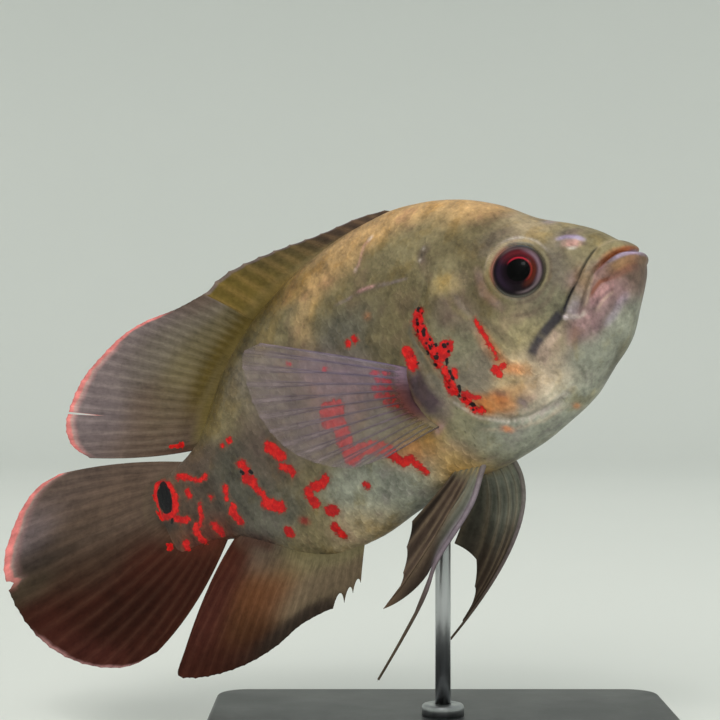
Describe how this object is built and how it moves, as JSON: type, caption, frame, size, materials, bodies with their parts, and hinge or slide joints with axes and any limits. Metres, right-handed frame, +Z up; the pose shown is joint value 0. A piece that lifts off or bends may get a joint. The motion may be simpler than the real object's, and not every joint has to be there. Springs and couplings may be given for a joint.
{
  "type": "oscar fish model",
  "caption": "Still, life-size model of an oscar fish, nose up and turned aside, with spread fins, held by a rod on a flat stand.",
  "frame": {"origin": "middle of the stand base's underside", "axes": "+Z up; +X towards the side that the head is on; the fish's right flank faces -Y"},
  "size_m": [0.1823, 0.0915, 0.1443],
  "materials": {
    "skin": "moist olive and khaki fish skin with vermilion flecks",
    "fin": "grey-brown fin membrane over paler rays",
    "dark_fin": "dark maroon fin membrane, rosy at the margin",
    "black_fin": "near-black fin membrane with brown streaks",
    "eye": "glossy dark red iris round a black pupil",
    "stand_base": "satin charcoal",
    "stand_steel": "brushed"
  },
  "bodies": {
    "root": {"head": "skin", "lower_jaw": "skin", "gill_cover_right": "skin", "gill_cover_left": "skin", "trunk": "skin", "tail_stem": "skin", "dorsal_fin_spiny": "fin", "dorsal_fin_soft": "fin", "anal_fin": "dark_fin", "caudal_fin": "dark_fin", "pectoral_fin_right": "fin", "pectoral_fin_left": "fin", "pelvic_fin_right": "black_fin", "pelvic_fin_left": "black_fin", "eye_right": "eye", "eye_left": "eye", "stand_base": "stand_base", "stand_rod": "stand_steel", "stand_collar": "stand_steel"}
  },
  "joints": []
}
